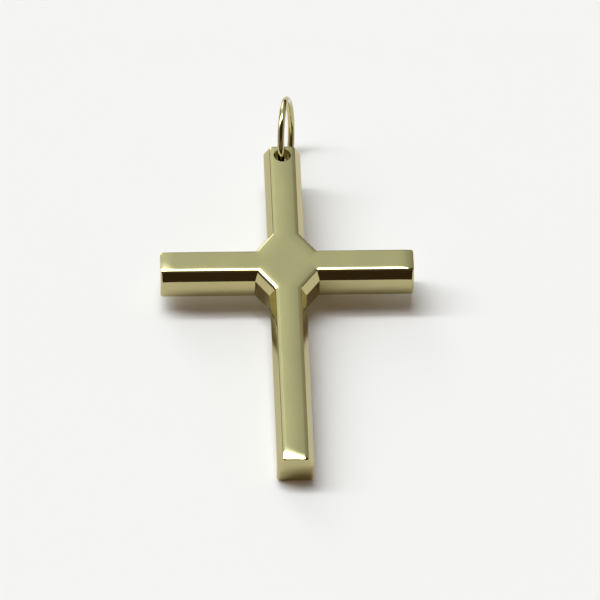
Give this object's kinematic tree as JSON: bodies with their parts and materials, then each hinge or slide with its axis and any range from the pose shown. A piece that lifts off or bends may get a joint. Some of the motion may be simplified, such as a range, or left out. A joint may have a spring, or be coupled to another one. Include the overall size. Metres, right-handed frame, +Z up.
{
  "type": "cross pendant",
  "caption": "Plain Latin cross pendant with shouldered bars and slanted inner corners, hung from a round jump ring through a hole in its head.",
  "frame": {"origin": "middle of the bounding box's base, on the surface that the pendant lies on", "axes": "+Y from the foot towards the head and the jump ring, +Z up, +X to the right as seen from the foot"},
  "size_m": [0.022, 0.0404, 0.0073],
  "materials": {
    "gold": "mirror-polished yellow gold"
  },
  "bodies": {
    "root": {"cross": "gold", "jump_ring": "gold"}
  },
  "joints": []
}
